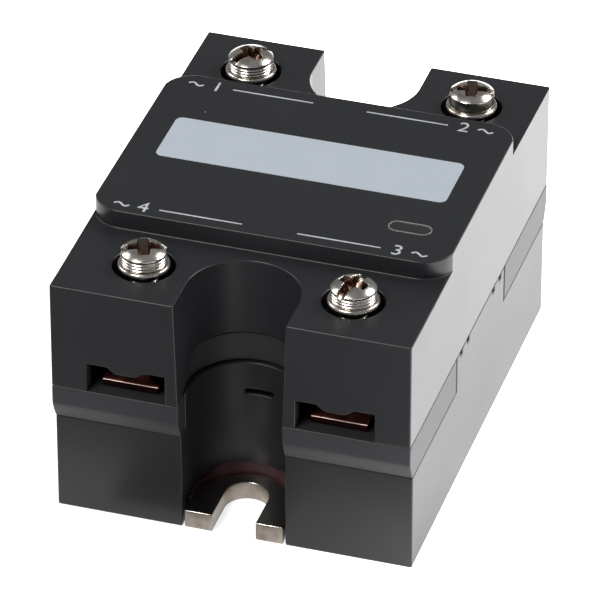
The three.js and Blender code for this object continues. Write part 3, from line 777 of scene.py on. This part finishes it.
smoked = Finish("smoked_acrylic", roughness=0.12, ior=1.42)
drift = smoked.noise(300, 2)
smoked.set("Base Color", smoked.mix(drift, (0.014, 0.0145, 0.015), (0.024, 0.0245, 0.025)))
smoked.bump(drift, 0.02)
pipe = oblong(-PIPE_CLEARANCE, 0.01, PIPE_FOOT, cover_high.z - 0.04)
make_piece("window_light_pipe", pipe, smoked, ["light_pipe"], edge=0.16)
rim_outer = oblong(RIM_OUT, 0.02, cover_high.z - 0.4, cover_high.z + 0.06)
rim_inner = oblong(-RIM_IN, 0.01, cover_high.z - 1, cover_high.z + 1)
rim_plastic = Finish("polished_rim_plastic", roughness=0.22, ior=1.5)
rim_tone = rim_plastic.mix(rim_plastic.noise(900), (0.12, 0.12, 0.12), (0.17, 0.17, 0.17))
rim_plastic.set("Base Color", rim_tone)
make_piece("window_rim", cut(rim_outer, rim_inner), rim_plastic, [], edge=0.05)

lamp_epoxy = Finish("clear_lamp_epoxy", roughness=0.08, ior=1.53, transmission_weight=0.7)
lamp_epoxy.set("Base Color", lamp_epoxy.mix(lamp_epoxy.noise(900), (0.42, 0.70, 0.40), (0.52, 0.80, 0.50)))
keep_node("indicator_led", lamp_epoxy, 0.05)

# ---- Marking panel and printed marks -------------------------------------------------
# A pale blue-grey panel pad-printed across the plateau, for the owner's own label, and
# light grey ink marks: plain terminal numbers, the wave sign for alternating current,
# and rules between them.

panel_low, panel_high = span("marking_panel")
INK_FACE = cover_high.z + 0.03
INK_DEPTH = 0.05
PANEL_CORNER = 0.9
PANEL_DEPTH = 0.05
WAVE_STROKE = 0.26
RULE_STROKE = 0.22
RULE_INNER = 3.4
RULE_GAP = 2
NUMBER_REACH = 15.6
WAVE_REACH = 18.3

panel_print = Finish("pale_panel_print", roughness=0.5)
mottle = panel_print.noise(260, 4)
panel_print.set("Base Color", panel_print.mix(mottle, (0.330, 0.362, 0.402), (0.365, 0.398, 0.440)))
panel_print.bump(panel_print.noise(3600, 2), 0.006)
panel_size = (panel_high.x - panel_low.x, panel_high.y - panel_low.y)
panel_middle = ((panel_high.x + panel_low.x) / 2, (panel_high.y + panel_low.y) / 2)
panel = prism(rounded(panel_middle, *panel_size, PANEL_CORNER),
              cover_high.z - PANEL_DEPTH, cover_high.z + PANEL_DEPTH)
make_piece("marking_panel_print", panel, panel_print, ["marking_panel"],
           edge=0.03, segments=2)

ink = Finish("light_grey_ink", roughness=0.55)
wear = ink.noise(1800, 4)
ink.set("Base Color", ink.mix(wear, (0.50, 0.51, 0.52), (0.38, 0.39, 0.40)))
ink.bump(wear, 0.01)


def ribbon(points, width):
    """A flat strip of ink with square ends that follows points in X and Y."""
    left, right = [], []
    for i, (x, y) in enumerate(points):
        ahead = points[min(i + 1, len(points) - 1)]
        behind = points[max(i - 1, 0)]
        along = Vector((ahead[0] - behind[0], ahead[1] - behind[1])).normalized() * width / 2
        left.append((x - along.y, y + along.x))
        right.append((x + along.y, y - along.x))
    return prism(left + right[::-1], INK_FACE - INK_DEPTH, INK_FACE)


def wave_sign(x, y, wide=1.9, tall=0.62):
    """One period of a sine wave, the sign for alternating current."""
    steps = 24
    points = [(x + wide * (i / steps - 0.5), y + tall / 2 * math.sin(2 * math.pi * i / steps))
              for i in range(steps + 1)]
    return ribbon(points, WAVE_STROKE)


def numeral(digit, x, y, tall=2.05):
    """A plain printed digit whose middle is at this point."""
    letter = bpy.data.curves.new("numeral", "FONT")
    letter.body = digit
    letter.size = tall / 0.7
    letter.align_x = "CENTER"
    letter.align_y = "CENTER"
    letter.extrude = INK_DEPTH / 2
    letter.resolution_u = 6
    shown = bpy.data.objects.new("numeral", letter)
    bpy.context.scene.collection.objects.link(shown)
    bpy.context.view_layer.update()
    evaluated = shown.evaluated_get(bpy.context.evaluated_depsgraph_get())
    made = bmesh.new()
    made.from_mesh(evaluated.to_mesh())
    evaluated.to_mesh_clear()
    bpy.data.objects.remove(shown)
    bmesh.ops.remove_doubles(made, verts=made.verts, dist=1e-4)
    made.transform(Matrix.Translation((x, y, INK_FACE - INK_DEPTH / 2)))
    return made


def gather(solids):
    """Several solids that lie apart, as one."""
    whole = bmesh.new()
    for solid in solids:
        mesh = bpy.data.meshes.new("part")
        solid.to_mesh(mesh)
        solid.free()
        whole.from_mesh(mesh)
        bpy.data.meshes.remove(mesh)
    return whole


for word, row, left, right in (("load", 13.9, "1", "2"), ("input", -14.4, "4", "3")):
    marks = [numeral(left, -NUMBER_REACH, row), numeral(right, NUMBER_REACH, row),
             wave_sign(-WAVE_REACH, row), wave_sign(WAVE_REACH, row),
             ribbon([(-NUMBER_REACH + RULE_GAP, row), (-RULE_INNER, row)], RULE_STROKE),
             ribbon([(RULE_INNER, row), (NUMBER_REACH - RULE_GAP, row)], RULE_STROKE)]
    make_piece("printed_marks_" + word, gather(marks), ink, [], edge=0)

# ---- Terminal screws and washers -----------------------------------------------------
# Steel screws, rolled, turned and nickel plated, with a cross and slot recess and a domed
# head, grooved round its side on all but one. A captive washer rides down with each screw.

HEAD_RADIUS = 2.75
HEAD_HEIGHT = 1.95
DOME_HEIGHT = 0.3
DOME_DROP = 0.75
SHANK_RADIUS = 1.75
NECK_RADIUS = 1.6
THREAD_PITCH = 0.6
THREAD_DEPTH = 0.34
HEAD_CHAMFER = 0.12
GROOVES = 3
FIRST_GROOVE = 0.32
GROOVE_SPACING = 0.38
GROOVE_MOUTH = 0.13
GROOVE_FLOOR = 0.04
GROOVE_DEPTH = 0.14
SLOT_HALF = 0.5
SLOT_DEPTH = 1.4
WASHER_PLAY = 0.3
AROUND = 72
RECESS_TURNS = {"front_left": 0.35, "front_right": 1.25, "rear_left": 0.9, "rear_right": 0.2}
washer_low, washer_high = span("screw_washer_front_left")
SEAT = washer_high.z
SHANK_TIP = span("terminal_screw_front_left")[0].z
HEAD_RIM = SEAT + HEAD_HEIGHT


def turned(rows):
    """A closed body of revolution. A row is (radius, height, depth of thread)."""
    sections = []
    for radius, height, depth in rows:
        ring = []
        for step in range(AROUND):
            turn = 2 * math.pi * step / AROUND
            phase = (height / THREAD_PITCH - step / AROUND) % 1
            reach = radius - depth * abs(2 * phase - 1)
            ring.append((reach * math.cos(turn), reach * math.sin(turn), height))
        sections.append(ring)
    return loft(sections)


def head_rows(rings):
    """The head from its seat to the middle of its dome, with as many turned grooves as asked."""
    rows = [(HEAD_RADIUS - 0.5, SEAT), (HEAD_RADIUS - HEAD_CHAMFER, SEAT),
            (HEAD_RADIUS, SEAT + HEAD_CHAMFER)]
    for ring in range(rings):
        middle = SEAT + FIRST_GROOVE + ring * GROOVE_SPACING
        floor_radius = HEAD_RADIUS - GROOVE_DEPTH
        rows += [(HEAD_RADIUS, middle - GROOVE_MOUTH), (floor_radius, middle - GROOVE_FLOOR),
                 (floor_radius, middle + GROOVE_FLOOR), (HEAD_RADIUS, middle + GROOVE_MOUTH)]
    for share in (1.0, 0.98, 0.94, 0.89, 0.83, 0.76, 0.68, 0.59, 0.49, 0.38, 0.26, 0.13, 0.01):
        rows.append((HEAD_RADIUS * share, HEAD_RIM + DOME_HEIGHT - DOME_DROP * share ** 3.2))
    return [(radius, height, 0) for radius, height in rows]


def cross_outline(reach, half):
    """A cross seen from above, with arms this long and of this half width."""
    quarter = [(reach, -half), (reach, half), (half * 1.25, half * 1.25)]
    points = []
    for turn in range(4):
        angle = turn * math.pi / 2
        points += [(x * math.cos(angle) - y * math.sin(angle), x * math.sin(angle) + y * math.cos(angle))
                   for x, y in quarter]
    return points


def recess(turn):
    """The tapering cross, and the slot through the rim that a flat driver also fits."""
    top = HEAD_RIM + DOME_HEIGHT + 0.2
    cross = loft([[(x, y, top - depth) for x, y in cross_outline(reach, half)]
                  for depth, reach, half in ((2.3, 0.8, 0.4), (1.3, 1.45, 0.5), (-0.2, 2.05, 0.68))])
    flare = SLOT_HALF + 0.12
    slot_solid = prism_along_x([(-SLOT_HALF, top - SLOT_DEPTH), (SLOT_HALF, top - SLOT_DEPTH),
                                (flare, top + 1), (-flare, top + 1)], -HEAD_RADIUS - 1, HEAD_RADIUS + 1)
    made = join(cross, slot_solid)
    made.transform(Matrix.Rotation(turn, 4, "Z"))
    return made


def screw(turn, rings):
    """A whole screw on the axis: chamfered shank, thread, neck and head with its recess."""
    rows = [(0.02, SHANK_TIP, 0), (SHANK_RADIUS - 0.55, SHANK_TIP, 0),
            (SHANK_RADIUS - 0.3, SHANK_TIP + 0.25, 0)]
    thread_top = washer_low.z - 1
    count = round((thread_top - SHANK_TIP - 0.5) / THREAD_PITCH * 8)
    for step in range(count + 1):
        share = min(1, step / 8, (count - step) / 8)
        height = SHANK_TIP + 0.5 + step * THREAD_PITCH / 8
        rows.append((SHANK_RADIUS - 0.2 * (1 - share), height, THREAD_DEPTH * share))
    rows += [(NECK_RADIUS, washer_low.z - 0.6, 0), (NECK_RADIUS, SEAT, 0)]
    return cut(turned(rows + head_rows(rings)), recess(turn))


def washer():
    """A flat ring with a chamfered foot and a rounded upper rim."""
    bottom, top = washer_low.z, washer_high.z
    hole, rim = NECK_RADIUS + WASHER_PLAY, (washer_high.x - washer_low.x) / 2
    outline = [(hole, bottom), (rim - 0.12, bottom), (rim, bottom + 0.12), (rim, top - 0.3),
               (rim - 0.1, top - 0.12), (rim - 0.3, top), (hole, top)]
    made = bmesh.new()
    rings = [[made.verts.new((radius * math.cos(2 * math.pi * step / AROUND),
                              radius * math.sin(2 * math.pi * step / AROUND), height))
              for step in range(AROUND)] for radius, height in outline]
    for low, high in zip(rings, rings[1:] + rings[:1]):
        for step in range(AROUND):
            after = (step + 1) % AROUND
            made.faces.new((low[step], low[after], high[after], high[step]))
    bmesh.ops.recalc_face_normals(made, faces=made.faces)
    return made


def recess_painted_shade(word, middle):
    """Nickel on one screw, painted dark brown inside its recess as shade."""
    finish = plated_nickel("screw_nickel_" + word)
    axis = (middle.x * MM, middle.y * MM, 0)
    offset = finish.node("ShaderNodeVectorMath", {"operation": "SUBTRACT"}, {0: finish.place, 1: axis})
    across = finish.node("ShaderNodeVectorMath", {"operation": "MULTIPLY"}, {0: offset, 1: (1, 1, 0)})
    reach = finish.node("ShaderNodeVectorMath", {"operation": "LENGTH"}, {0: across}, "Value")
    height = finish.node("ShaderNodeSeparateXYZ", {}, {"Vector": finish.place}, "Z")
    # Painted shade: everything inside the cross and slot recess, below the rim of the head, is coloured
    # dark brown.
    inside = (reach < 1.95 * MM) * (height > SEAT * MM) * (height < (HEAD_RIM + 0.04) * MM)
    finish.set("Base Color", finish.mix(inside, finish.tone, (0.19, 0.135, 0.105)))
    return finish


for word, middle in TERMINALS.items():
    home = Matrix.Translation((middle.x, middle.y, 0))
    solid = screw(RECESS_TURNS[word], 0 if word == "rear_right" else GROOVES)
    solid.transform(home)
    make_piece("clamp_screw_" + word, solid, recess_painted_shade(word, middle),
               ["terminal_screw_" + word], "clamp_screw_" + word, edge=0.03, segments=2)
    ring = washer()
    ring.transform(home)
    make_piece("captive_washer_" + word, ring, nickel, ["screw_washer_" + word],
               "clamp_washer_" + word, edge=0.04, segments=2)

# ---- Studio --------------------------------------------------------------------------
# A pale floor that gives off light of its own, more of it towards the right, where the
# side of the case mirrors it. Three soft lamps: over the camera, behind, and on the left.

scene = bpy.context.scene
scene.view_settings.view_transform = "Standard"

paper = Finish("pale_floor_paper", roughness=0.9, emission_strength=1.0)
across = paper.node("ShaderNodeSeparateXYZ", {}, {"Vector": paper.place}, "X")
along = paper.node("ShaderNodeSeparateXYZ", {}, {"Vector": paper.place}, "Y")
lit_side = paper.ramp((across * 1.6 + along) * 20 + 0.4, (0.0, 0.0), (1.0, 1.0))
paper.set("Base Color", paper.mix(paper.noise(30), (0.80, 0.80, 0.80), (0.82, 0.82, 0.82)))
paper.set("Emission Color", paper.mix(lit_side, (0.70, 0.70, 0.71), (2.45, 2.46, 2.49)))
FLOOR_HALF = 3000
floor_solid = prism(rounded((0, 0), 2 * FLOOR_HALF, 2 * FLOOR_HALF, 200), -2, -0.05)
floor_solid.transform(Matrix.Scale(MM, 4))
floor = as_object(floor_solid)
floor.name = "studio_floor"
floor.data.materials.append(paper.material)

# A dull black card in front keeps glare off the front faces and the bay. Its narrow end
# reaches in before the bay, so it is hidden from the camera, and it throws no shadow.
felt = Finish("black_card", roughness=1.0)
felt.set("Base Color", felt.mix(felt.noise(60), (0.10, 0.10, 0.10), (0.12, 0.12, 0.12)))
card_solid = join(block(-130, 26, -230, -42, 0.1, 0.6), block(-16, 4.5, -43, -31.5, 0.1, 0.6))
card_solid.transform(Matrix.Scale(MM, 4))
card = as_object(card_solid)
card.name = "glare_card"
card.data.materials.append(felt.material)
card.visible_camera = False
card.visible_shadow = False
card.visible_diffuse = False

world = bpy.data.worlds.new("studio_room")
world.use_nodes = True
world.node_tree.nodes["Background"].inputs["Color"].default_value = (0.95, 0.97, 1.0, 1)
world.node_tree.nodes["Background"].inputs["Strength"].default_value = 0.25
scene.world = world

TARGET = Vector((0, 0, 0.018))


def softbox(name, place, size, watts):
    """A square lamp of this size in metres and this power, aimed at the object."""
    data = bpy.data.lights.new(name, "AREA")
    data.shape = "SQUARE"
    data.size = size
    data.energy = watts
    lamp = bpy.data.objects.new(name, data)
    lamp.location = place
    lamp.rotation_euler = (TARGET - Vector(place)).to_track_quat("-Z", "Y").to_euler()
    scene.collection.objects.link(lamp)


softbox("softbox_above_camera", (-0.22, -0.42, 0.62), 0.30, 4.2)
softbox("softbox_behind_right", (0.45, 0.35, 0.55), 0.30, 4.0)
softbox("softbox_left", (-0.60, 0.05, 0.45), 0.30, 1.5)

# The camera looks down on the front right corner through a long lens.
camera_data = bpy.data.cameras.new("camera")
camera_data.lens = 353.457
camera_data.sensor_width = 36
camera_data.shift_x = -0.00214
camera_data.shift_y = -0.01441
camera_data.clip_start = 0.05
camera_data.clip_end = 20
camera = bpy.data.objects.new("camera", camera_data)
right = Vector((0.954779, 0.297315, 0.000586))
up = Vector((-0.164896, 0.527895, 0.833148))
back = right.cross(up)
turned_to_object = Matrix((right, up, back)).transposed().to_4x4()
camera.matrix_world = Matrix.Translation((0.175632, -0.566634, 0.410289)) @ turned_to_object
scene.collection.objects.link(camera)
scene.camera = camera
